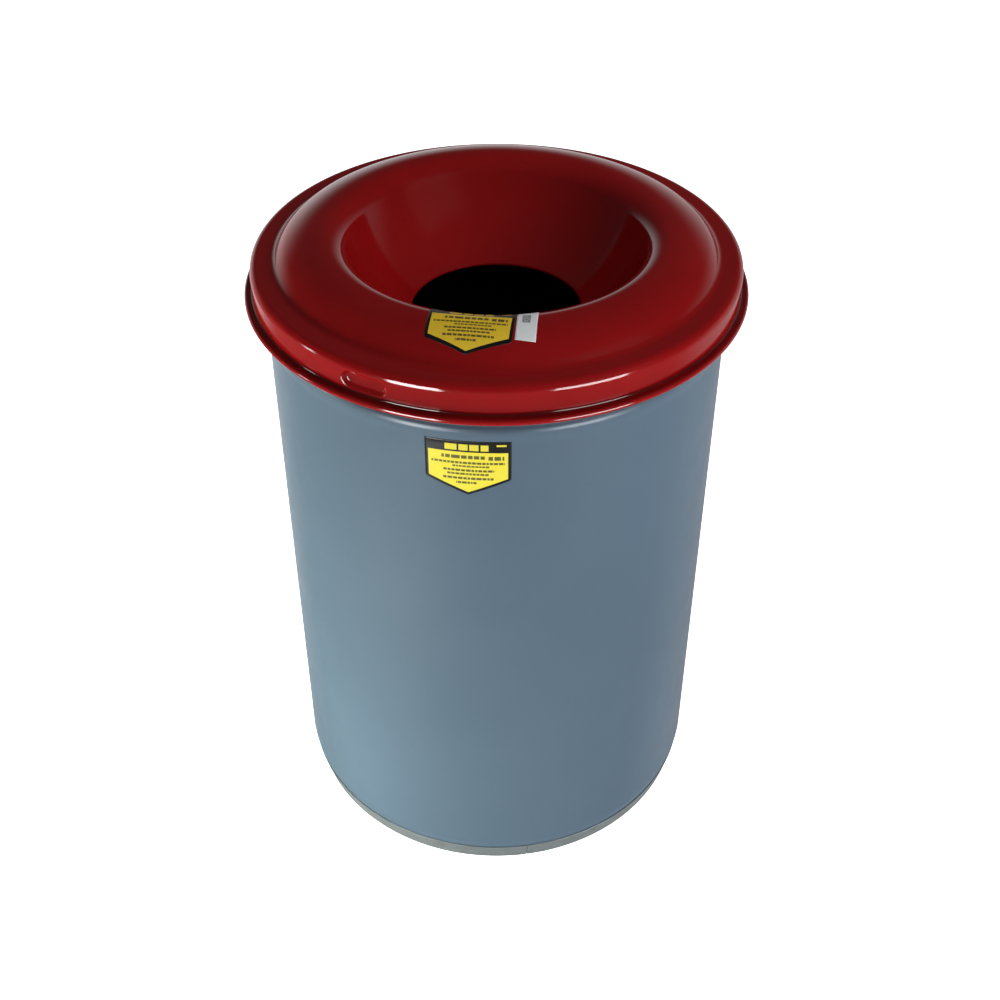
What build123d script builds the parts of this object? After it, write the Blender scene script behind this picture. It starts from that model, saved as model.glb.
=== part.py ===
from build123d import *
from math import asin, cos, degrees, radians, sin, sqrt
import os

# Drum-type waste receptacle: an open sheet-steel drum and a lift-off funnel head. Millimetres.
# +Z is up, the origin is on the axis at the level of the floor, and -Y is the front.
#
# Every pressed or rolled sheet here is a profile turned about Z. A profile is a chain of arcs on the
# sheet's outer face. Each arc is (centre_r, centre_z, radius, start, end): its angles are those of the
# outward normal, measured from +R towards +Z, a negative radius is a hollow curve, and a zero radius
# is a plain point. Straight runs join one arc to the next.

# ---- driving dimensions -----------------------------------------------------------------------------
DRUM_RADIUS = 178.0          # outside of the straight wall, a 14 in drum
DRUM_SHEET = 0.8
DRUM_MOUTH_Z = 517.4         # top of the rolled mouth, on which the head rests

TAPER = 13.5                 # degrees, how far the wall's lower edge leans inwards
TAPER_TOP_Z = 27.0
TAPER_BEND = 8.0
WALL_FOOT_Z = 2.6            # lower edge of the wall

BEAD_RADIUS = 178.8          # crest of the swaged bead below the mouth
BEAD_FOOT_Z = 463.0
BEAD_CREST_Z = 473.5
NECK_RADIUS = 176.0
SHOULDER_LEAN = 36.0         # steepest lean between the bead and the neck
MOUTH_CURL = 4.0             # outside radius of the rolled mouth

DISC_Z = 12.0                # underside of the bottom disc
DISC_BEND = 3.0
FIT_GAP = 0.1                # between sheets that are clamped together

BAND_SHEET = 0.8             # bare steel band that clamps the wall to the bottom
BAND_NOSE = 1.95             # outside radius of the band's fold
BAND_FLAT = 1.0              # width of the flat that the fold is pressed to, where it stands on the floor
BAND_TOP_Z = 17.6
BAND_INNER_TOP_Z = 8.6
BAND_JOINT_ANGLE = 9.0       # where the band's two ends meet, degrees from the front towards +X
BAND_JOINT_GAP = 0.8
SEALANT_RADIUS = 0.6
SEALANT_Z = 1.5

HEAD_SHEET = 1.0
THROAT_RADIUS = 66.7
HEM_RADIUS = 1.8             # outside radius of the safety hem round the throat
HEM_LENGTH = 5.0
FUNNEL_TOP_SLOPE = 64.0      # how steeply the funnel falls away under the lip, degrees from level
FUNNEL_FOOT_SLOPE = 40.0     # its slope where it meets the throat
FUNNEL_BEND = 162.0          # hollow radius that joins the two slopes
LIP_R, LIP_Z, LIP_BEND = 131.5, 515.9, 20.5
CROWN_BEND, SHOULDER_BEND = 54.0, 28.0
CROWN_TO_SHOULDER = 59.7     # normal where the crown's arc meets the shoulder's
LEDGE_Z = 518.7
LEDGE_FILLET = 6.0
SKIRT_RADIUS = 187.3
SKIRT_CORNER = 6.0
RIM_R, RIM_Z, RIM_BEND = 190.8, 492.9, 2.5       # rolled bead along the skirt's lower edge
RIM_FLARE = 1.5
RIM_CLOSE = -200.0

DIMPLE_COUNT = 3
DIMPLE_FIRST_ANGLE = -29.0   # degrees from the front towards +X
DIMPLE_WIDTH, DIMPLE_HEIGHT, DIMPLE_CORNER = 36.0, 13.0, 4.0
DIMPLE_Z = 505.5
DIMPLE_DEPTH = 3.05
DIMPLE_DRAFT = 40.0

WELD_WIDTH = 1.6             # seam weld down the back of the wall

LABEL_THICKNESS = 0.2
DRUM_LABEL_ANGLE = -6.45     # degrees from the front towards +X
DRUM_LABEL_WIDTH, DRUM_LABEL_SIDE, DRUM_LABEL_HEIGHT = 61.0, 33.6, 47.2
DRUM_LABEL_TOP_Z = 467.0
HEAD_LABEL_ANGLE = -7.5
HEAD_LABEL_WIDTH, HEAD_LABEL_SIDE, HEAD_LABEL_HEIGHT = 60.0, 32.5, 43.8      # seen from above
HEAD_LABEL_TOP_Y = -118.0
STICKER_X, STICKER_Y = 20.8, -134.5
STICKER_TURN = -5.0
STICKER_WIDTH, STICKER_HEIGHT = 14.3, 34.0


# ---- profiles ---------------------------------------------------------------------------------------
def along(centre_r, centre_z, distance, angle):
    """The point at a distance from a centre, in the direction of an angle from +R towards +Z."""
    return (centre_r + distance * cos(radians(angle)), centre_z + distance * sin(radians(angle)))


def point(r, z, angle):
    """A plain point of a profile, where the outward normal has the given angle."""
    return (r, z, 0.0, angle, angle)


def face_edges(arcs, shift):
    """The edges of a profile's outer face, moved along its outward normal by a shift."""
    edges, last = [], None
    for centre_r, centre_z, radius, start, end in arcs:
        marks = [along(centre_r, centre_z, radius + shift, a) for a in (start, (start + end) / 2, end)]
        first, middle, final = [Vector(r, 0, z) for r, z in marks]
        if last is not None and (first - last).length > 1e-6:
            edges.append(Edge.make_line(last, first))
        if (final - first).length > 1e-6:
            edges.append(Edge.make_three_point_arc(first, middle, final))
        last = final
    return edges


def sheet_face(arcs, thickness, outside=0.0):
    """The cross-section of a sheet whose outer face follows the arcs, plus an optional outward shift."""
    front, back = face_edges(arcs, outside), face_edges(arcs, outside - thickness)
    first_cap = Edge.make_line(back[0].position_at(0), front[0].position_at(0))
    last_cap = Edge.make_line(front[-1].position_at(1), back[-1].position_at(1))
    return Face(Wire(front + [last_cap] + back + [first_cap]))


def turned(face):
    return Solid.revolve(face, 360, Axis.Z)


def save(shape, node, colour):
    shape.label = node
    shape.color = Color(*colour)
    export_step(shape, f"parts/{node}.step")


# ---- drum -------------------------------------------------------------------------------------------
taper_bend_r = DRUM_RADIUS - TAPER_BEND


def taper_radius(z):
    """Outside radius of the wall's tapered lower edge at a height."""
    bend_end_r, bend_end_z = along(taper_bend_r, TAPER_TOP_Z, TAPER_BEND, -TAPER)
    return bend_end_r - (bend_end_z - z) * sin(radians(TAPER)) / cos(radians(TAPER))


def wall_profile():
    """The wall from its tapered lower edge, past the swaged bead and the neck, round the mouth's curl."""
    # The bead rises from the wall in two equal arcs, and falls to the neck in two more.
    rise, run = BEAD_RADIUS - DRUM_RADIUS, BEAD_CREST_Z - BEAD_FOOT_Z
    swell_angle = 2 * degrees(asin(rise / sqrt(rise ** 2 + run ** 2)))
    swell_radius = run / 2 / sin(radians(swell_angle))
    fall = BEAD_RADIUS - NECK_RADIUS
    fall_radius = fall / 2 / (1 - cos(radians(SHOULDER_LEAN)))
    neck_z = BEAD_CREST_Z + 2 * fall_radius * sin(radians(SHOULDER_LEAN))
    curl_r = NECK_RADIUS - DRUM_SHEET + MOUTH_CURL
    curl_z = DRUM_MOUTH_Z - MOUTH_CURL
    # The curl turns outwards, so there the sheet's outer face is the hollow one.
    curl_hollow = MOUTH_CURL - DRUM_SHEET
    return [
        point(taper_radius(WALL_FOOT_Z), WALL_FOOT_Z, -TAPER),
        (taper_bend_r, TAPER_TOP_Z, TAPER_BEND, -TAPER, 0),
        (DRUM_RADIUS + swell_radius, BEAD_FOOT_Z, -swell_radius, 0, -swell_angle),
        (BEAD_RADIUS - swell_radius, BEAD_CREST_Z, swell_radius, -swell_angle, 0),
        (BEAD_RADIUS - fall_radius, BEAD_CREST_Z, fall_radius, 0, SHOULDER_LEAN),
        (NECK_RADIUS + fall_radius, neck_z, -fall_radius, SHOULDER_LEAN, 0),
        (curl_r, curl_z, -curl_hollow, 0, -270),
    ]


wall_face = sheet_face(wall_profile(), DRUM_SHEET)
wall_ring = turned(wall_face)
seam_slot = Pos(0, DRUM_RADIUS, DRUM_MOUTH_Z / 2) * Box(WELD_WIDTH, 60, 2 * DRUM_MOUTH_Z)
drum_wall = wall_ring - seam_slot
side_seam_weld = wall_ring & seam_slot


def flange_radius(z, layers_inwards):
    """Radius of a tapered face at a height, a measured distance inside the wall's outer face."""
    return taper_radius(z) - layers_inwards / cos(radians(TAPER))


def bottom_profile():
    """The bottom disc and the flange that turns down inside the wall's taper."""
    inset = DRUM_SHEET + FIT_GAP
    bend_z = DISC_Z + DRUM_SHEET - DISC_BEND
    bend_r = flange_radius(bend_z, inset) - DISC_BEND / cos(radians(TAPER))
    return [
        point(0, DISC_Z + DRUM_SHEET, 90),
        (bend_r, bend_z, DISC_BEND, 90, -TAPER),
        point(flange_radius(WALL_FOOT_Z, inset), WALL_FOOT_Z, -TAPER),
    ]


def bottom_face():
    """The disc's section, which reaches the axis and so has one edge on it."""
    return sheet_face(bottom_profile(), DRUM_SHEET)


drum_bottom = turned(bottom_face())

# The band is a folded channel. Its outer leg lies on the wall and its inner leg on the disc's flange.
band_outside = BAND_SHEET + FIT_GAP
nose_offset = BAND_NOSE / cos(radians(TAPER)) - band_outside / cos(radians(TAPER))
nose_r = taper_radius(BAND_NOSE) - nose_offset
nose_z = sqrt(BAND_NOSE ** 2 - (BAND_FLAT / 2) ** 2)
band_top_r = taper_radius(BAND_TOP_Z) + band_outside / cos(radians(TAPER))


def band_profile():
    leg = (BAND_INNER_TOP_Z - nose_z) / cos(radians(TAPER))
    inner_end_r, inner_end_z = along(*along(nose_r, nose_z, BAND_NOSE, 180 - TAPER), leg, 90 - TAPER)
    return [
        point(inner_end_r, inner_end_z, -180 - TAPER),
        (nose_r, nose_z, BAND_NOSE, -180 - TAPER, -TAPER),
        point(band_top_r, BAND_TOP_Z, -TAPER),
    ]


band_ring = turned(sheet_face(band_profile(), BAND_SHEET))
band_cut = Pos(0, -nose_r, BAND_TOP_Z / 2) * Box(BAND_JOINT_GAP, 30, 2 * BAND_TOP_Z)
band_sole = Pos(0, 0, -BAND_NOSE) * Cylinder(DRUM_RADIUS, 2 * BAND_NOSE)
foot_band = band_ring - band_cut.rotate(Axis.Z, BAND_JOINT_ANGLE) - band_sole

sealant_section = Plane.XZ * Pos(nose_r, SEALANT_Z) * Circle(SEALANT_RADIUS)
bottom_sealant = Solid.revolve(sealant_section.face(), 360, Axis.Z)


# ---- head -------------------------------------------------------------------------------------------
def head_profile():
    """The head from the hem round the throat, up the funnel, over the dome and down to the rolled rim."""
    top_normal = 90 + FUNNEL_TOP_SLOPE
    foot_normal = 90 + FUNNEL_FOOT_SLOPE
    bend_r, bend_z = along(LIP_R, LIP_Z, LIP_BEND + FUNNEL_BEND, top_normal)
    foot_r, foot_z = along(bend_r, bend_z, -FUNNEL_BEND, foot_normal)
    hem_r = THROAT_RADIUS + HEM_RADIUS
    hem_top_r, hem_rise = along(hem_r, 0, HEM_RADIUS, foot_normal)
    fall = (foot_r - hem_top_r) * sin(radians(FUNNEL_FOOT_SLOPE)) / cos(radians(FUNNEL_FOOT_SLOPE))
    hem_z = foot_z - fall - hem_rise
    fold_r, fold_z = along(hem_r, hem_z, HEM_RADIUS, foot_normal + 180)
    hem_end_r, hem_end_z = along(fold_r, fold_z, HEM_LENGTH, FUNNEL_FOOT_SLOPE)
    crown_z = LIP_Z + LIP_BEND - CROWN_BEND
    shoulder_r, shoulder_z = along(LIP_R, crown_z, CROWN_BEND - SHOULDER_BEND, CROWN_TO_SHOULDER)
    ledge_normal = degrees(asin((LEDGE_Z + LEDGE_FILLET - shoulder_z) / (SHOULDER_BEND + LEDGE_FILLET)))
    ledge_r, ledge_z = along(shoulder_r, shoulder_z, SHOULDER_BEND + LEDGE_FILLET, ledge_normal)
    return [
        point(hem_end_r, hem_end_z, foot_normal + 180),
        (hem_r, hem_z, HEM_RADIUS, foot_normal + 180, foot_normal),
        (bend_r, bend_z, -FUNNEL_BEND, foot_normal, top_normal),
        (LIP_R, LIP_Z, LIP_BEND, top_normal, 90),
        (LIP_R, crown_z, CROWN_BEND, 90, CROWN_TO_SHOULDER),
        (shoulder_r, shoulder_z, SHOULDER_BEND, CROWN_TO_SHOULDER, ledge_normal),
        (ledge_r, ledge_z, -LEDGE_FILLET, ledge_normal, 90),
        (SKIRT_RADIUS - SKIRT_CORNER, LEDGE_Z - SKIRT_CORNER, SKIRT_CORNER, 90, 0),
        (SKIRT_RADIUS + RIM_FLARE, RIM_Z + RIM_BEND + RIM_FLARE, -RIM_FLARE, 0, 90),
        (RIM_R, RIM_Z, RIM_BEND, 90, RIM_CLOSE),
    ]


def dimple(start_radius, grow, depth):
    """A tapered block at the front of the skirt, from a start radius inwards."""
    outline = RectangleRounded(DIMPLE_WIDTH + 2 * grow, DIMPLE_HEIGHT + 2 * grow, DIMPLE_CORNER)
    front = Plane(origin=(0, -start_radius, DIMPLE_Z), x_dir=(1, 0, 0), z_dir=(0, 1, 0))
    return extrude(front * outline, depth, taper=DIMPLE_DRAFT)


funnel_head = turned(sheet_face(head_profile(), HEAD_SHEET))
skirt_inside = SKIRT_RADIUS - HEAD_SHEET
dimple_inside = SKIRT_RADIUS - DIMPLE_DEPTH - HEAD_SHEET
for turn in range(DIMPLE_COUNT):
    angle = DIMPLE_FIRST_ANGLE + turn * 360 / DIMPLE_COUNT
    boss = dimple(skirt_inside + 0.3, 0.6, skirt_inside + 0.3 - dimple_inside).rotate(Axis.Z, angle)
    pocket = dimple(SKIRT_RADIUS + 0.3, 0.0, DIMPLE_DEPTH + 0.3).rotate(Axis.Z, angle)
    funnel_head = funnel_head + boss - pocket


# ---- labels -----------------------------------------------------------------------------------------
def pentagon(width, side, height):
    """A label's outline, hanging from the middle of its top edge, with a point at the bottom."""
    half = width / 2
    return Polygon((-half, 0), (-half, -side), (0, -height), (half, -side), (half, 0), align=None)


def skin(profile_arcs):
    """A thin skin on the outside of a turned sheet."""
    return turned(sheet_face(profile_arcs, LABEL_THICKNESS, outside=LABEL_THICKNESS))


drum_skin = skin([point(DRUM_RADIUS, 400, 0), point(DRUM_RADIUS, BEAD_FOOT_Z, 0)]
                 + wall_profile()[2:4])
drum_label_plane = Plane(origin=(0, -DRUM_RADIUS - 20, DRUM_LABEL_TOP_Z), x_dir=(1, 0, 0), z_dir=(0, -1, 0))
drum_outline = pentagon(2 * DRUM_RADIUS * sin(DRUM_LABEL_WIDTH / DRUM_RADIUS / 2),
                        DRUM_LABEL_SIDE, DRUM_LABEL_HEIGHT)
drum_cutter = extrude(drum_label_plane * drum_outline, -60).rotate(Axis.Z, DRUM_LABEL_ANGLE)
drum_label = drum_skin & drum_cutter

crown_skin = skin(head_profile()[3:6])


def crown_label(outline):
    """A label on the crown: its outline, drawn as seen from above, is cast straight down on to the skin."""
    return crown_skin & extrude(Pos(0, 0, LIP_Z) * outline, 2 * LIP_BEND)


head_label = crown_label(Rot(0, 0, HEAD_LABEL_ANGLE) * Pos(0, HEAD_LABEL_TOP_Y)
                         * pentagon(HEAD_LABEL_WIDTH, HEAD_LABEL_SIDE, HEAD_LABEL_HEIGHT))
head_sticker = crown_label(Pos(STICKER_X, STICKER_Y) * Rot(0, 0, STICKER_TURN)
                           * Rectangle(STICKER_WIDTH, STICKER_HEIGHT))


# ---- files ------------------------------------------------------------------------------------------
BLUE_GREY = (0.36, 0.44, 0.50)
RED = (0.45, 0.03, 0.03)
STEEL = (0.46, 0.49, 0.49)
YELLOW = (0.90, 0.76, 0.08)

os.makedirs("parts", exist_ok=True)
save(drum_wall, "drum_wall", BLUE_GREY)
save(side_seam_weld, "side_seam_weld", BLUE_GREY)
save(drum_bottom, "drum_bottom", STEEL)
save(foot_band, "foot_band", STEEL)
save(bottom_sealant, "bottom_sealant", (0.10, 0.10, 0.11))
save(drum_label, "drum_label", YELLOW)
save(funnel_head, "funnel_head", RED)
save(head_label, "head_label", YELLOW)
save(head_sticker, "head_sticker", (0.85, 0.86, 0.86))
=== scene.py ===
import bpy
import math
import random
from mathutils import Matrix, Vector


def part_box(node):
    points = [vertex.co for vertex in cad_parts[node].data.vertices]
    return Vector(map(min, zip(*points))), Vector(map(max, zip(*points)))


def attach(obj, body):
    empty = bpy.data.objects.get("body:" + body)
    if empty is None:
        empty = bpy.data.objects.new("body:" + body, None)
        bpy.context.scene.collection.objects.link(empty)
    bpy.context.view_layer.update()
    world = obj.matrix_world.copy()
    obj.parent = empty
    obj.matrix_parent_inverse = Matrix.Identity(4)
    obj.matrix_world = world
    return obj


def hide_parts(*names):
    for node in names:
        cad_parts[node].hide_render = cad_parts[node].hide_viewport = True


# A fire-safe waste receptacle: a blue-grey steel drum with a glossy red funnel head. The scene is in
# metres, and the sheet profiles below are worked in millimetres. +Z is up and -Y is the front.

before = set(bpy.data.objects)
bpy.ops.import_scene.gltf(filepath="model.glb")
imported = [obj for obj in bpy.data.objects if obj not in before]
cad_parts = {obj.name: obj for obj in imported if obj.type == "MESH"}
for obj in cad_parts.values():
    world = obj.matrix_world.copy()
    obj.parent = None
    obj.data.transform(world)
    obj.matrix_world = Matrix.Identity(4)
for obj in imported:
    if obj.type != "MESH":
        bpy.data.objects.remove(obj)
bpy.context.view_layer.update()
MM = 0.001


def top_of(node):
    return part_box(node)[1].z / MM


def reach_of(node):
    """The smallest distance from the axis to a side of a node's box."""
    low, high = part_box(node)
    return min(-low.x, high.x, -low.y, high.y) / MM


# ---- profiles ----------------------------------------------------------------------------------------
# A profile is a chain of arcs on a sheet's outer face: (centre_r, centre_z, radius, start, end). The angles
# are those of the outward normal, in degrees from +R towards +Z. A negative radius is a hollow curve.
def along(r, z, distance, angle):
    a = math.radians(angle)
    return r + distance * math.cos(a), z + distance * math.sin(a)


def trace(*chains):
    """Points (r, z, normal) along chains of (arcs, degrees a step, longest straight step)."""
    points = []
    for arcs, step, longest in chains:
        for centre_r, centre_z, radius, start, end in arcs:
            count = max(1, math.ceil(abs(end - start) / step)) if radius else 0
            for i in range(count + 1):
                angle = start + (end - start) * (i / count if count else 0)
                r, z = along(centre_r, centre_z, radius, angle)
                if points and i == 0:
                    r0, z0, a0 = points[-1]
                    gap = math.hypot(r - r0, z - z0)
                    if gap < 1e-4:
                        continue
                    pieces = math.ceil(gap / longest)
                    for k in range(1, pieces):
                        points.append((r0 + (r - r0) * k / pieces, z0 + (z - z0) * k / pieces, angle))
                points.append((r, z, angle))
    return points


def sheet_loop(points, thickness):
    """A closed section: the outer face, then the inner face back again."""
    outer = [(r, z) for r, z, a in points]
    inner = [along(r, z, -thickness, a) for r, z, a in points]
    return outer + inner[::-1]


# ---- meshes ------------------------------------------------------------------------------------------
def new_mesh(name, vertices, faces):
    mesh = bpy.data.meshes.new(name)
    mesh.from_pydata([Vector(v) * MM for v in vertices], [], faces)
    mesh.validate()
    mesh.shade_smooth()
    piece = bpy.data.objects.new(name, mesh)
    bpy.context.scene.collection.objects.link(piece)
    return piece


def turn(name, loop, angles, closed=True, dent=None):
    """Turns a section about Z, through angles in degrees from the front towards +X.

    dent(angle, r, z) gives a point's new radius.
    """
    vertices, faces = [], []
    count = len(loop)
    for angle in angles:
        s, c = math.sin(math.radians(angle)), math.cos(math.radians(angle))
        for r, z in loop:
            if dent:
                r = dent(angle, r, z)
            vertices.append((r * s, -r * c, z))
    rings = len(angles)
    for j in range(rings if closed else rings - 1):
        k = (j + 1) % rings
        for i in range(count):
            n = (i + 1) % count
            faces.append((j * count + i, k * count + i, k * count + n, j * count + n))
    if not closed:
        faces.append(tuple(range(count)))
        faces.append(tuple(range((rings - 1) * count, rings * count))[::-1])
    return new_mesh(name, vertices, faces)


def keep_edges(piece, degrees=35):
    """Marks the mesh's real edges sharp, so that only its curved faces shade smoothly."""
    piece.data.set_sharp_from_angle(angle=math.radians(degrees))


def even(count):
    return [i * 360 / count for i in range(count)]


# ---- head --------------------------------------------------------------------------------------------
CREST = top_of("funnel_head")
RIM_REACH = reach_of("funnel_head")
HEAD_SHEET = 1.0
LIP_BEND, CROWN_BEND, SHOULDER_BEND = 20.5, 54.0, 28.0
LIP_R, LIP_Z = RIM_REACH - 61.8, CREST - LIP_BEND
CROWN_TO_SHOULDER = 59.7
FUNNEL_TOP_SLOPE, FUNNEL_FOOT_SLOPE, FUNNEL_BEND = 64.0, 40.0, 162.0
THROAT_R, HEM_R, HEM_LENGTH = 66.7, 1.8, 5.0
LEDGE_Z, LEDGE_FILLET = CREST - 17.7, 6.0
SKIRT_R, SKIRT_CORNER = RIM_REACH - 6.0, 6.0
RIM_BEND, RIM_FLARE = 2.5, 1.5
RIM_R, RIM_Z = RIM_REACH - RIM_BEND, CREST - 43.5
DIMPLE_ANGLES = (-29.0, 91.0, -149.0)
DIMPLE_Z, DIMPLE_DEPTH = CREST - 30.9, 3.0
DIMPLE_HALF_WIDTH, DIMPLE_HALF_HEIGHT = 18.0, 6.5
DIMPLE_EDGE, DIMPLE_WALL = 1.0, 4.0
HEAD_STEPS, DIMPLE_STEPS, DIMPLE_STEP = 480, 48, 0.15
SKIRT_DEPTH = 26.0


def head_profile():
    top_normal, foot_normal = 90 + FUNNEL_TOP_SLOPE, 90 + FUNNEL_FOOT_SLOPE
    bend_r, bend_z = along(LIP_R, LIP_Z, LIP_BEND + FUNNEL_BEND, top_normal)
    foot_r, foot_z = along(bend_r, bend_z, -FUNNEL_BEND, foot_normal)
    hem_r = THROAT_R + HEM_R
    hem_top_r, hem_rise = along(hem_r, 0, HEM_R, foot_normal)
    hem_z = foot_z - (foot_r - hem_top_r) * math.tan(math.radians(FUNNEL_FOOT_SLOPE)) - hem_rise
    fold_r, fold_z = along(hem_r, hem_z, HEM_R, foot_normal + 180)
    end_r, end_z = along(fold_r, fold_z, HEM_LENGTH, FUNNEL_FOOT_SLOPE)
    crown_z = LIP_Z + LIP_BEND - CROWN_BEND
    shoulder_r, shoulder_z = along(LIP_R, crown_z, CROWN_BEND - SHOULDER_BEND, CROWN_TO_SHOULDER)
    fillet_rise = LEDGE_Z + LEDGE_FILLET - shoulder_z
    ledge_normal = math.degrees(math.asin(fillet_rise / (SHOULDER_BEND + LEDGE_FILLET)))
    ledge_r, ledge_z = along(shoulder_r, shoulder_z, SHOULDER_BEND + LEDGE_FILLET, ledge_normal)
    funnel = [
        (end_r, end_z, 0, foot_normal + 180, foot_normal + 180),
        (hem_r, hem_z, HEM_R, foot_normal + 180, foot_normal),
        (bend_r, bend_z, -FUNNEL_BEND, foot_normal, top_normal),
    ]
    dome = [
        (LIP_R, LIP_Z, LIP_BEND, top_normal, 90),
        (LIP_R, crown_z, CROWN_BEND, 90, CROWN_TO_SHOULDER),
        (shoulder_r, shoulder_z, SHOULDER_BEND, CROWN_TO_SHOULDER, ledge_normal),
    ]
    skirt = [
        (ledge_r, ledge_z, -LEDGE_FILLET, ledge_normal, 90),
        (SKIRT_R - SKIRT_CORNER, LEDGE_Z - SKIRT_CORNER, SKIRT_CORNER, 90, 0),
        (SKIRT_R + RIM_FLARE, RIM_Z + RIM_BEND + RIM_FLARE, -RIM_FLARE, 0, 90),
        (RIM_R, RIM_Z, RIM_BEND, 90, -200),
    ]
    return funnel, dome, skirt


def ease(x):
    x = min(1.0, max(0.0, x))
    return x * x * (3 - 2 * x)


def dimple_dent(angle, r, z):
    """Presses the slots into both faces of the skirt, and leaves the rest of the head alone."""
    if r < SKIRT_R - 2.0 or r > SKIRT_R + 0.3 or not LEDGE_Z - SKIRT_DEPTH < z < LEDGE_Z:
        return r
    for middle in DIMPLE_ANGLES:
        turned = (angle - middle + 180) % 360 - 180
        across = abs(math.radians(turned)) * SKIRT_R
        up = abs(z - DIMPLE_Z)
        straight = DIMPLE_HALF_WIDTH - DIMPLE_HALF_HEIGHT
        away = math.hypot(max(0.0, across - straight), up)
        inwards = DIMPLE_HALF_HEIGHT + DIMPLE_EDGE - away
        if inwards > 0:
            r -= DIMPLE_DEPTH * ease(inwards / DIMPLE_WALL)
    return r


def head_angles():
    """Even steps, with finer ones across each dimple."""
    angles = set(round(a, 3) for a in even(HEAD_STEPS))
    for middle in DIMPLE_ANGLES:
        for i in range(-DIMPLE_STEPS, DIMPLE_STEPS + 1):
            angles.add(round((middle + i * DIMPLE_STEP) % 360, 3))
    return sorted(angles)


funnel_arcs, dome_arcs, skirt_arcs = head_profile()
head_points = trace(
    (funnel_arcs[:2], 12.0, 2.5),
    (funnel_arcs[2:], 1.0, 2.5),
    (dome_arcs, 1.5, 4.0),
    (skirt_arcs, 5.0, 0.6),
)
head = turn("head_shell", sheet_loop(head_points, HEAD_SHEET), head_angles(), dent=dimple_dent)
keep_edges(head)
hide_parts("funnel_head")
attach(head, "head")


# ---- drum --------------------------------------------------------------------------------------------
DRUM_R, DRUM_SHEET = 178.0, 0.8
MOUTH = top_of("drum_wall")
TAPER, TAPER_TOP_Z, TAPER_BEND = 13.5, 27.0, 8.0
WALL_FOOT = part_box("drum_wall")[0].z / MM
BEAD_R, BEAD_FOOT_Z, BEAD_CREST_Z = 178.8, 463.0, 473.5
NECK_R, SHOULDER_LEAN, MOUTH_CURL = 176.0, 36.0, 4.0


def taper_radius(z):
    bend_r, bend_z = along(DRUM_R - TAPER_BEND, TAPER_TOP_Z, TAPER_BEND, -TAPER)
    return bend_r - (bend_z - z) * math.tan(math.radians(TAPER))


def wall_profile():
    rise, run = BEAD_R - DRUM_R, BEAD_CREST_Z - BEAD_FOOT_Z
    swell_angle = 2 * math.degrees(math.atan2(rise, run))
    swell = run / 2 / math.sin(math.radians(swell_angle))
    fall = (BEAD_R - NECK_R) / 2 / (1 - math.cos(math.radians(SHOULDER_LEAN)))
    neck_z = BEAD_CREST_Z + 2 * fall * math.sin(math.radians(SHOULDER_LEAN))
    return [
        (taper_radius(WALL_FOOT), WALL_FOOT, 0, -TAPER, -TAPER),
        (DRUM_R - TAPER_BEND, TAPER_TOP_Z, TAPER_BEND, -TAPER, 0),
        (DRUM_R + swell, BEAD_FOOT_Z, -swell, 0, -swell_angle),
        (BEAD_R - swell, BEAD_CREST_Z, swell, -swell_angle, 0),
        (BEAD_R - fall, BEAD_CREST_Z, fall, 0, SHOULDER_LEAN),
        (NECK_R + fall, neck_z, -fall, SHOULDER_LEAN, 0),
        (NECK_R - DRUM_SHEET + MOUTH_CURL, MOUTH - MOUTH_CURL, DRUM_SHEET - MOUTH_CURL, 0, -270),
    ]


wall_points = trace((wall_profile(), 3.0, 12.0))
wall = turn("wall_shell", sheet_loop(wall_points, DRUM_SHEET), even(360))
keep_edges(wall)
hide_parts("drum_wall")
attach(wall, "drum")


def wall_radius(z):
    """Radius of the wall's outer face at a height below the mouth's curl."""
    for (r0, z0, a0), (r1, z1, a1) in zip(wall_points, wall_points[1:]):
        if z0 <= z <= z1:
            return r0 + (r1 - r0) * (z - z0) / (z1 - z0)
    return DRUM_R


# The side seam is a flattened weld, a little proud of the wall and uneven along its length.
SEAM_HALF_WIDTH, SEAM_PROUD = 1.9, 0.22
chance = random.Random(11)


def seam_weld():
    across = [-1.0, -0.75, -0.45, -0.15, 0.15, 0.45, 0.75, 1.0]
    low, high = 19.0, MOUTH - 9.0
    count = 420
    vertices, faces = [], []
    drift = 0.0
    for j in range(count + 1):
        z = low + (high - low) * j / count
        drift = 0.9 * drift + chance.uniform(-0.035, 0.035)
        height = SEAM_PROUD * (0.9 + 0.1 * math.sin(z * 1.9) + chance.uniform(-0.07, 0.07))
        for t in across:
            r = wall_radius(z) - 0.03 + height * (1 - t * t)
            angle = (t * SEAM_HALF_WIDTH + drift) / DRUM_R
            vertices.append((-r * math.sin(angle), r * math.cos(angle), z))
    width = len(across)
    for j in range(count):
        for i in range(width - 1):
            faces.append((j * width + i, j * width + i + 1, (j + 1) * width + i + 1, (j + 1) * width + i))
    return new_mesh("seam_weld", vertices, faces)


seam = seam_weld()
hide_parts("side_seam_weld")
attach(seam, "drum")


# ---- foot band ---------------------------------------------------------------------------------------
BAND_SHEET, FIT_GAP, BAND_NOSE, BAND_FLAT, BAND_EDGE = 0.8, 0.1, 1.95, 1.0, 0.4
BAND_TOP = top_of("foot_band")
BAND_INNER_TOP = 8.6
BAND_JOINT, BAND_JOINT_GAP = 9.0, 0.8


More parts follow.
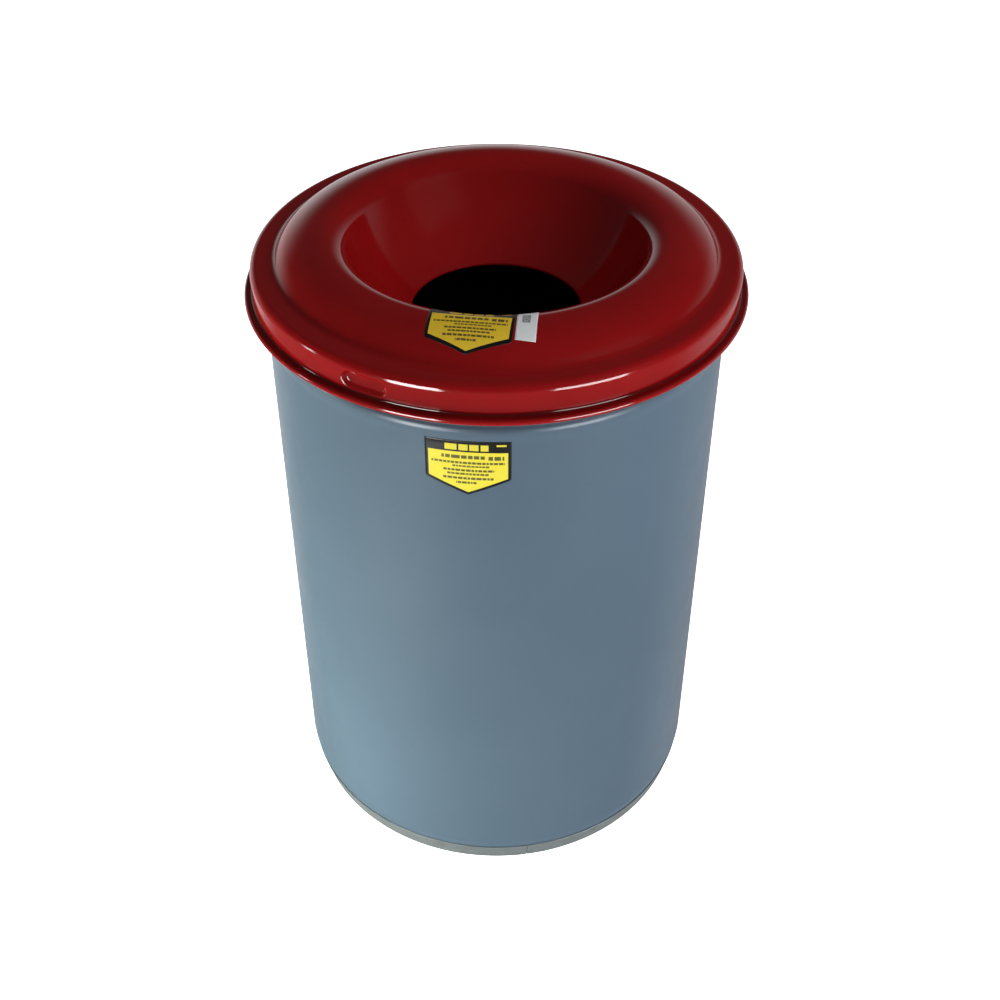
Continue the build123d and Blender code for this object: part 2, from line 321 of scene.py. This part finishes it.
def band_profile():
    slant = math.cos(math.radians(TAPER))
    outside = BAND_SHEET + FIT_GAP
    nose_z = math.sqrt(BAND_NOSE ** 2 - (BAND_FLAT / 2) ** 2)
    nose_r = taper_radius(BAND_NOSE) - (BAND_NOSE - outside) / slant
    top_z = BAND_TOP - BAND_EDGE
    top_r = taper_radius(top_z) + outside / slant
    start_r, start_z = along(nose_r, nose_z, BAND_NOSE, 180 - TAPER)
    end_r, end_z = along(start_r, start_z, (BAND_INNER_TOP - nose_z) / slant, 90 - TAPER)
    edge_r, edge_z = along(top_r, top_z, -BAND_EDGE, -TAPER)
    return [
        (end_r, end_z, 0, -180 - TAPER, -180 - TAPER),
        (nose_r, nose_z, BAND_NOSE, -180 - TAPER, -TAPER),
        (edge_r, edge_z, BAND_EDGE, -TAPER, 90 - TAPER),
    ]


def band_loop():
    points = trace((band_profile(), 8.0, 3.0))
    loop = [(r, max(0.0, z)) for r, z, a in points]
    inner = [along(r, z, -BAND_SHEET, a) for r, z, a in points if a < -TAPER + 1]
    return loop + inner[::-1]


joint_half = math.degrees(BAND_JOINT_GAP / 2 / reach_of("foot_band"))
band_span = 360 - 2 * joint_half
band_angles = [BAND_JOINT + joint_half + band_span * i / 360 for i in range(361)]
band = turn("band_ring", band_loop(), band_angles, closed=False)
keep_edges(band, 40)
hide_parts("foot_band")
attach(band, "drum")


# ---- labels ------------------------------------------------------------------------------------------
LABEL_PROUD = 0.18
DRUM_LABEL_WIDTH, DRUM_LABEL_SIDE, DRUM_LABEL_HEIGHT, DRUM_LABEL_ANGLE = 61.0, 33.6, 47.2, -6.45
HEAD_LABEL_WIDTH, HEAD_LABEL_SIDE, HEAD_LABEL_HEIGHT = 60.0, 32.5, 43.8
HEAD_LABEL_TOP, HEAD_LABEL_LEAN = 118.0, -7.5
STICKER_WIDTH, STICKER_HEIGHT = 14.3, 34.0
STICKER_X, STICKER_Y, STICKER_LEAN = 20.8, -134.5, -5.0


def label(name, width, side, height, place, rows=40, columns=48):
    """A five-sided label. place(u, v) puts the point u from its middle line and v below its top edge."""
    vertices, faces, prints = [], [], []
    for j in range(rows + 1):
        v = height * j / rows
        half = width / 2 if v <= side else width / 2 * max(0.004, (height - v) / (height - side))
        for i in range(columns + 1):
            u = half * (2 * i / columns - 1)
            vertices.append(place(u, v))
            prints.append((u / width + 0.5, 1 - v / height))
    for j in range(rows):
        for i in range(columns):
            a = j * (columns + 1) + i
            faces.append((a, a + columns + 1, a + columns + 2, a + 1))
    piece = new_mesh(name, vertices, faces)
    layer = piece.data.uv_layers.new(name="print")
    for loop in piece.data.loops:
        layer.data[loop.index].uv = prints[loop.vertex_index]
    film = piece.modifiers.new("film", "SOLIDIFY")
    film.thickness = LABEL_PROUD * MM
    film.offset = -1
    return piece


def on_drum(middle, top_z):
    def place(u, v):
        z = top_z - v
        r = wall_radius(z) + LABEL_PROUD
        angle = math.radians(middle) + u / DRUM_R
        return (r * math.sin(angle), -r * math.cos(angle), z)
    return place


def dome_height(r):
    """Height of the dome's outer face at a radius, from the lip to the shoulder."""
    if r < LIP_R:
        return LIP_Z + math.sqrt(LIP_BEND ** 2 - (LIP_R - r) ** 2)
    crown_z = LIP_Z + LIP_BEND - CROWN_BEND
    turn_r, turn_z = along(LIP_R, crown_z, CROWN_BEND, CROWN_TO_SHOULDER)
    if r < turn_r:
        return crown_z + math.sqrt(CROWN_BEND ** 2 - (r - LIP_R) ** 2)
    shoulder_r, shoulder_z = along(LIP_R, crown_z, CROWN_BEND - SHOULDER_BEND, CROWN_TO_SHOULDER)
    return shoulder_z + math.sqrt(SHOULDER_BEND ** 2 - (r - shoulder_r) ** 2)


def on_dome(x, y, lean):
    """Places a label whose top edge's middle is at (x, y) in plan, turned by lean about Z."""
    s, c = math.sin(math.radians(lean)), math.cos(math.radians(lean))

    def place(u, v):
        px, py = x + u * c + v * s, y + u * s - v * c
        r = math.hypot(px, py)
        slope = (dome_height(r + 0.05) - dome_height(r - 0.05)) / 0.1
        size = math.sqrt(1 + slope * slope)
        out = -slope / size * LABEL_PROUD
        return (px * (1 + out / r), py * (1 + out / r), dome_height(r) + LABEL_PROUD / size)
    return place


drum_label = label("drum_label_film", DRUM_LABEL_WIDTH, DRUM_LABEL_SIDE, DRUM_LABEL_HEIGHT,
                   on_drum(DRUM_LABEL_ANGLE, top_of("drum_label")))
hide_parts("drum_label")
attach(drum_label, "drum")

head_lean = math.radians(HEAD_LABEL_LEAN)
head_label_x = HEAD_LABEL_TOP * math.sin(head_lean)
head_label_y = -HEAD_LABEL_TOP * math.cos(head_lean)
head_label = label("head_label_film", HEAD_LABEL_WIDTH, HEAD_LABEL_SIDE, HEAD_LABEL_HEIGHT,
                   on_dome(head_label_x, head_label_y, HEAD_LABEL_LEAN))
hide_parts("head_label")
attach(head_label, "head")

sticker_lean = math.radians(STICKER_LEAN)
sticker_top_x = STICKER_X - STICKER_HEIGHT / 2 * math.sin(sticker_lean)
sticker_top_y = STICKER_Y + STICKER_HEIGHT / 2 * math.cos(sticker_lean)
sticker = label("sticker_film", STICKER_WIDTH, STICKER_HEIGHT, STICKER_HEIGHT,
                on_dome(sticker_top_x, sticker_top_y, STICKER_LEAN), rows=30, columns=14)
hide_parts("head_sticker")
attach(sticker, "head")


# ---- materials ---------------------------------------------------------------------------------------
class Paint:
    """A short way to write a material's nodes: each method adds one node and gives back its output."""

    def __init__(self, name):
        self.material = bpy.data.materials.new(name)
        self.material.use_nodes = True
        self.tree = self.material.node_tree
        self.tree.nodes.clear()
        self.place = self.add("ShaderNodeTexCoord").outputs["Object"]

    def add(self, kind, inputs=None, **settings):
        made = self.tree.nodes.new(kind)
        for key, value in settings.items():
            setattr(made, key, value)
        for key, value in (inputs or {}).items():
            self.feed(made.inputs[key], value)
        return made

    def feed(self, socket, value):
        if isinstance(value, bpy.types.NodeSocket):
            self.tree.links.new(value, socket)
        else:
            socket.default_value = value

    def math(self, operation, a, b=0.0):
        return self.add("ShaderNodeMath", {0: a, 1: b}, operation=operation).outputs[0]

    def noise(self, scale, detail=3.0, roughness=0.5, stretch=None):
        vector = self.place
        if stretch:
            stretched = self.add("ShaderNodeVectorMath", {0: vector, 1: stretch}, operation="MULTIPLY")
            vector = stretched.outputs[0]
        return self.add("ShaderNodeTexNoise", {"Vector": vector, "Scale": scale, "Detail": detail,
                                               "Roughness": roughness}).outputs["Fac"]

    def ramp(self, value, low, high, to_low=0.0, to_high=1.0):
        return self.add("ShaderNodeMapRange", {"Value": value, "From Min": low, "From Max": high,
                                               "To Min": to_low, "To Max": to_high}).outputs["Result"]

    def blend(self, amount, a, b):
        made = self.add("ShaderNodeMix", data_type="RGBA")
        self.feed(made.inputs[0], amount)
        self.feed(made.inputs[6], a)
        self.feed(made.inputs[7], b)
        return made.outputs[2]

    def bump(self, height, strength, distance):
        return self.add("ShaderNodeBump", {"Height": height, "Strength": strength,
                                           "Distance": distance}).outputs["Normal"]

    def finish(self, **sockets):
        shader = self.add("ShaderNodeBsdfPrincipled")
        for key, value in sockets.items():
            self.feed(shader.inputs[key.replace("_", " ")], value)
        output = self.add("ShaderNodeOutputMaterial")
        self.tree.links.new(shader.outputs[0], output.inputs["Surface"])
        return self.material


def dress(piece, *materials):
    piece.data.materials.clear()
    for one in materials:
        piece.data.materials.append(one)


def colour(r, g, b):
    return (r, g, b, 1.0)


def head_paint():
    p = Paint("head_paint_red")
    cloud = p.noise(9.0, 3.0, 0.55)
    fine = p.noise(220.0, 2.0, 0.6)
    tone = p.blend(p.ramp(cloud, 0.35, 0.65), colour(0.265, 0.0040, 0.0048), colour(0.300, 0.0048, 0.0058))
    tone = p.blend(p.ramp(fine, 0.35, 0.65, 0.0, 0.05), tone, colour(0.20, 0.003, 0.003))
    # Painted shade darkens the crease between the skirt and the rolled rim, where the paint lies in shadow.
    place = p.add("ShaderNodeSeparateXYZ", {0: p.place})
    crease_shade = p.math("MULTIPLY", p.ramp(place.outputs["Z"], (RIM_Z + 1.6) * MM, (RIM_Z + 2.8) * MM),
                    p.ramp(place.outputs["Z"], (RIM_Z + 6.0) * MM, (RIM_Z + 4.0) * MM))
    crease_shade = p.math("MULTIPLY", crease_shade, p.ramp(p.noise(30.0, 3.0), 0.3, 0.7, 0.75, 1.0))
    plan = p.add("ShaderNodeCombineXYZ", {0: place.outputs["X"], 1: place.outputs["Y"]}).outputs[0]
    reach = p.add("ShaderNodeVectorMath", {0: plan}, operation="LENGTH").outputs["Value"]
    crease_shade = p.math("MULTIPLY", crease_shade, p.math("GREATER_THAN", reach, (SKIRT_R - 2.0) * MM))
    tone = p.blend(p.math("MULTIPLY", crease_shade, 0.8), tone, colour(0.012, 0.001, 0.001))
    peel = p.noise(250.0, 2.0, 0.5)
    rough = p.ramp(p.noise(55.0, 4.0, 0.6), 0.3, 0.7, 0.07, 0.12)
    return p.finish(Base_Color=tone, Roughness=rough, Normal=p.bump(peel, 0.03, 0.0004), IOR=1.5)


def drum_paint():
    p = Paint("drum_paint_blue_grey")
    cloud = p.noise(6.0, 3.0, 0.5)
    fine = p.noise(300.0, 2.0, 0.6)
    tone = p.blend(p.ramp(cloud, 0.35, 0.65), colour(0.086, 0.136, 0.190), colour(0.093, 0.146, 0.203))
    tone = p.blend(p.ramp(fine, 0.35, 0.65, 0.0, 0.05), tone, colour(0.06, 0.09, 0.12))
    z = p.add("ShaderNodeSeparateXYZ", {0: p.place}).outputs["Z"]
    scuff = p.math("MULTIPLY", p.ramp(z, 0.045, 0.018), p.ramp(p.noise(90.0, 5.0, 0.7), 0.55, 0.75))
    tone = p.blend(p.math("MULTIPLY", scuff, 0.25), tone, colour(0.13, 0.15, 0.16))
    peel = p.noise(250.0, 2.0, 0.5)
    rough = p.ramp(p.noise(40.0, 4.0, 0.6), 0.3, 0.7, 0.28, 0.34)
    return p.finish(Base_Color=tone, Roughness=rough, Normal=p.bump(peel, 0.04, 0.0004), IOR=1.38)


def steel():
    p = Paint("band_bare_steel")
    drawn = p.noise(60.0, 4.0, 0.6, stretch=(1.0, 1.0, 30.0))
    tone = p.blend(p.ramp(drawn, 0.3, 0.7), colour(0.22, 0.255, 0.265), colour(0.30, 0.34, 0.345))
    stain = p.ramp(p.noise(70.0, 5.0, 0.7), 0.50, 0.70, 0.0, 0.5)
    tone = p.blend(stain, tone, colour(0.15, 0.16, 0.155))
    rough = p.ramp(drawn, 0.3, 0.7, 0.34, 0.50)
    return p.finish(Base_Color=tone, Roughness=rough, Metallic=0.5, Normal=p.bump(drawn, 0.15, 0.0002))


# A near-black coat for the drum's inside: painted shade standing in for the unlit interior.
def inner_shade_coat():
    p = Paint("drum_inner_shade_coat")
    cloud = p.noise(25.0, 4.0, 0.6)
    tone = p.blend(p.ramp(cloud, 0.3, 0.7), colour(0.006, 0.006, 0.0065), colour(0.012, 0.012, 0.0125))
    rough = p.ramp(cloud, 0.3, 0.7, 0.55, 0.75)
    return p.finish(Base_Color=tone, Roughness=rough, Normal=p.bump(p.noise(350.0), 0.15, 0.0005))


def sealing_compound():
    p = Paint("sealing_compound")
    cloud = p.noise(120.0, 4.0, 0.6)
    tone = p.blend(p.ramp(cloud, 0.3, 0.7), colour(0.010, 0.010, 0.011), colour(0.020, 0.020, 0.021))
    rough = p.ramp(cloud, 0.3, 0.7, 0.5, 0.8)
    return p.finish(Base_Color=tone, Roughness=rough, Normal=p.bump(cloud, 0.3, 0.0004))


def printed_label(name, field, faded):
    """Yellow field, black border and heading, and plain bars where the lines of print would be.

    It is laid out in millimetres on the drum label, and the head label takes it a little smaller.
    """
    p = Paint(name)
    uv = p.add("ShaderNodeUVMap", uv_map="print").outputs[0]
    split = p.add("ShaderNodeSeparateXYZ", {0: uv})
    u = p.math("MULTIPLY", p.math("SUBTRACT", split.outputs["X"], 0.5), DRUM_LABEL_WIDTH)
    v = p.math("MULTIPLY", p.math("SUBTRACT", 1.0, split.outputs["Y"]), DRUM_LABEL_HEIGHT)
    wide = p.math("ABSOLUTE", u)

    def under(value, limit):
        return p.math("LESS_THAN", value, limit)

    def both(a, b):
        return p.math("MULTIPLY", a, b)

    def either(a, b):
        return p.math("MAXIMUM", a, b)

    def bar(middle_u, middle_v, width, height):
        across = p.math("ABSOLUTE", p.math("SUBTRACT", u, middle_u))
        down = p.math("ABSOLUTE", p.math("SUBTRACT", v, middle_v))
        return both(under(across, width / 2), under(down, height / 2))

    def words(middle_u, middle_v, width, height, pitch, seed):
        """One line of generic print: a bar broken into word-like lengths."""
        spot = p.math("ADD", p.math("DIVIDE", u, pitch), seed * 7.31)
        edge = p.add("ShaderNodeTexVoronoi", {"W": spot, "Scale": 1.0}, voronoi_dimensions="1D",
                     feature="DISTANCE_TO_EDGE").outputs["Distance"]
        return both(bar(middle_u, middle_v, width, height), p.math("GREATER_THAN", edge, 0.09))

    # The border keeps one width along the label's slanted lower edges.
    slant = 2 * (DRUM_LABEL_HEIGHT - DRUM_LABEL_SIDE) / DRUM_LABEL_WIDTH
    field_half, field_point, heading_top, heading_foot = 28.2, 44.9, 1.2, 9.6
    to_point = p.math("ADD", v, p.math("MULTIPLY", wide, slant))
    inside = both(under(wide, field_half), under(to_point, field_point))
    inside = both(inside, p.math("GREATER_THAN", v, heading_foot))
    below_edge = p.math("GREATER_THAN", v, heading_top)
    heading = both(under(wide, field_half), both(below_edge, under(v, heading_foot)))
    plates = bar(-12.0, 5.6, 8.5, 5.2)
    for middle, width in ((-3.2, 6.5), (4.4, 6.5), (11.8, 5.5)):
        plates = either(plates, bar(middle, 5.6, width, 5.2))
    plates = both(heading, either(plates, bar(23.6, 3.4, 7.0, 1.6)))
    ink = words(-3.5, 14.0, 31.0, 2.9, 4.8, 1)
    more_lines = (
        (20.0, 14.4, 11.0, 3.4, 5.5),
        (0.0, 19.0, 52.0, 1.9, 3.1),
        (2.0, 22.0, 26.0, 1.5, 2.7),
        (0.5, 25.6, 36.0, 1.9, 3.3),
        (0.0, 28.8, 30.0, 1.7, 2.9),
        (0.0, 32.6, 36.0, 2.0, 3.4),
        (-1.0, 36.4, 15.0, 1.9, 2.8),
    )
    for seed, line in enumerate(more_lines, start=2):
        ink = either(ink, words(*line, seed))
    grain = p.noise(900.0, 2.0, 0.6)
    yellow = p.blend(p.ramp(grain, 0.3, 0.7), field, faded)
    tone = p.blend(both(ink, 0.86), yellow, colour(0.02, 0.02, 0.018))
    tone = p.blend(inside, colour(0.006, 0.006, 0.006), tone)
    tone = p.blend(both(plates, 0.9), tone, field)
    rough = p.ramp(p.noise(150.0, 3.0), 0.3, 0.7, 0.30, 0.42)
    return p.finish(Base_Color=tone, Roughness=rough, Normal=p.bump(p.noise(500.0), 0.08, 0.0002), IOR=1.45)


def sticker_film():
    p = Paint("sticker_white_film")
    uv = p.add("ShaderNodeUVMap", uv_map="print").outputs[0]
    split = p.add("ShaderNodeSeparateXYZ", {0: uv})
    u = p.math("MULTIPLY", split.outputs["X"], STICKER_WIDTH)
    v = p.math("MULTIPLY", split.outputs["Y"], STICKER_HEIGHT)
    cells = p.add("ShaderNodeCombineXYZ", {0: u, 1: v}).outputs[0]
    blot = p.add("ShaderNodeTexNoise", {"Vector": cells, "Scale": 0.9, "Detail": 2.0}).outputs["Fac"]
    across = p.math("LESS_THAN", p.math("ABSOLUTE", p.math("SUBTRACT", u, 6.6)), 2.9)
    down = p.math("LESS_THAN", p.math("ABSOLUTE", p.math("SUBTRACT", v, 21.5)), 5.0)
    mark = p.math("MULTIPLY", p.math("MULTIPLY", across, down), p.ramp(blot, 0.40, 0.55, 0.45, 0.85))
    paper = p.blend(p.ramp(p.noise(300.0), 0.3, 0.7), colour(0.84, 0.88, 0.90), colour(0.90, 0.93, 0.94))
    tone = p.blend(mark, paper, colour(0.10, 0.11, 0.12))
    return p.finish(Base_Color=tone, Roughness=p.ramp(p.noise(120.0), 0.3, 0.7, 0.35, 0.45),
                    Normal=p.bump(p.noise(400.0), 0.08, 0.0002))


red = head_paint()
blue_grey = drum_paint()
bare = steel()
shade_lining = inner_shade_coat()
compound = sealing_compound()
dress(head, red)
dress(wall, blue_grey, shade_lining)
dress(seam, blue_grey)
dress(band, bare)
dress(drum_label, printed_label("label_print_drum", colour(0.86, 0.76, 0.03), colour(0.80, 0.69, 0.03)))
dress(head_label, printed_label("label_print_head", colour(0.95, 0.66, 0.03), colour(0.88, 0.58, 0.03)))
dress(sticker, sticker_film())
dress(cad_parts["drum_bottom"], blue_grey)
dress(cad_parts["bottom_sealant"], compound)

# The wall's inner face carries the dark lining, a painted shade that keeps the drum's inside black through
# the throat.
for face in wall.data.polygons:
    centre, normal = face.center, face.normal
    if centre.x * normal.x + centre.y * normal.y < 0 and centre.z < (MOUTH - 10) * MM:
        face.material_index = 1


# ---- floor, light and camera -------------------------------------------------------------------------
FLOOR_HALF = 9000
FAINTLY_WARM = (1.0, 0.99, 0.84)
CAMERA_BACK, CAMERA_HEIGHT, CAMERA_TILT = 0.96666, 1.05463, 39.013


def floor_material():
    p = Paint("floor_white")
    tone = p.blend(p.ramp(p.noise(2.0, 2.0), 0.3, 0.7), colour(0.86, 0.86, 0.86), colour(0.88, 0.88, 0.88))
    white = colour(1.0, 1.0, 1.0)
    return p.finish(Base_Color=tone, Roughness=0.9, Emission_Color=white, Emission_Strength=1.25)


floor_corners = [(x * FLOOR_HALF, y * FLOOR_HALF, 0) for x, y in ((-1, -1), (1, -1), (1, 1), (-1, 1))]
floor = new_mesh("floor", floor_corners, [(0, 1, 2, 3)])
dress(floor, floor_material())
floor.visible_glossy = False


def studio():
    """A dim studio: white low down behind, faintly bright low on the right, dark above and in front."""
    world = bpy.data.worlds.new("studio")
    bpy.context.scene.world = world
    world.use_nodes = True
    tree = world.node_tree
    tree.nodes.clear()
    add = tree.nodes.new
    link = tree.links.new

    def ramp(value, low, high, to_low, to_high):
        made = add("ShaderNodeMapRange")
        made.interpolation_type = "SMOOTHSTEP"
        link(value, made.inputs["Value"])
        for key, number in (("From Min", low), ("From Max", high), ("To Min", to_low), ("To Max", to_high)):
            made.inputs[key].default_value = number
        return made.outputs["Result"]

    def math_node(operation, a, b):
        made = add("ShaderNodeMath")
        made.operation = operation
        for socket, value in zip(made.inputs, (a, b)):
            if isinstance(value, float):
                socket.default_value = value
            else:
                link(value, socket)
        return made.outputs[0]

    split = add("ShaderNodeSeparateXYZ")
    link(add("ShaderNodeTexCoord").outputs["Generated"], split.inputs[0])
    x, y, z = split.outputs
    low_sky = ramp(z, 0.05, 0.40, 1.0, 0.0)
    behind = ramp(y, 0.40, 0.90, 0.0, 1.0)
    side = ramp(x, -0.5, 0.5, 1.0, 0.5)
    white = math_node("MULTIPLY", math_node("MULTIPLY", low_sky, behind), side)
    front = ramp(z, -0.1, 0.15, 0.20, 0.06)
    right = math_node("MULTIPLY", ramp(x, 0.2, 0.5, 0.0, 1.0), ramp(y, -0.05, 0.35, 0.0, 0.35))
    right = math_node("MULTIPLY", right, low_sky)
    total = math_node("ADD", math_node("MAXIMUM", white, right), front)
    background = add("ShaderNodeBackground")
    link(total, background.inputs["Strength"])
    link(background.outputs[0], add("ShaderNodeOutputWorld").inputs[0])


def softbox(name, azimuth, elevation, distance, width, height, radiance, tint=(1.0, 1.0, 1.0), aim_z=0.50):
    """A rectangular light that faces the axis, at an azimuth from the front towards +X."""
    aim = Vector((0, 0, aim_z))
    a, e = math.radians(azimuth), math.radians(elevation)
    away = Vector((math.sin(a) * math.cos(e), -math.cos(a) * math.cos(e), math.sin(e)))
    lamp = bpy.data.lights.new(name, "AREA")
    lamp.shape = "RECTANGLE"
    lamp.size, lamp.size_y = width, height
    lamp.energy = radiance * math.pi * width * height
    lamp.color = tint
    holder = bpy.data.objects.new(name, lamp)
    bpy.context.scene.collection.objects.link(holder)
    holder.location = aim + away * distance
    holder.rotation_euler = away.to_track_quat("Z", "Y").to_euler()
    holder.visible_camera = False
    return holder


# Large diffused lights shape the form. They're cross-polarised, so they leave no glare on the gloss paint.
studio()
for fill in (
    softbox("fill_sky", 60, 80, 2.4, 5.0, 5.0, 0.32),
    softbox("fill_right", 57, 29, 2.2, 1.5, 1.1, 4.3),
    softbox("fill_left", -94, 0, 1.5, 0.8, 0.5, 18.5, FAINTLY_WARM, 0.15),
    softbox("fill_low", -46, 0, 0.50, 0.4, 0.12, 8.0, FAINTLY_WARM, 0.065),
):
    fill.visible_glossy = False
# Narrow striplights give the gloss paint its streaks and add next to nothing to the exposure.
for strip in (
    softbox("strip_right", 39, -8, 2.2, 1.2, 0.95, 15.0),
    softbox("strip_left", -34, -11, 2.2, 0.85, 1.2, 24.0),
    softbox("strip_side", -83, -5, 2.2, 0.22, 0.5, 12.0),
):
    strip.visible_diffuse = False

camera_data = bpy.data.cameras.new("camera")
camera_data.sensor_width = 36.0
camera_data.lens = 51.41
camera_data.shift_x = 0.0035
camera_data.clip_start, camera_data.clip_end = 0.05, 60.0
camera = bpy.data.objects.new("camera", camera_data)
bpy.context.scene.collection.objects.link(camera)
camera.location = (0.0, -CAMERA_BACK, CAMERA_HEIGHT)
camera.rotation_euler = (math.radians(90 - CAMERA_TILT), 0.0, 0.0)
bpy.context.scene.camera = camera
bpy.context.scene.view_settings.view_transform = "Standard"
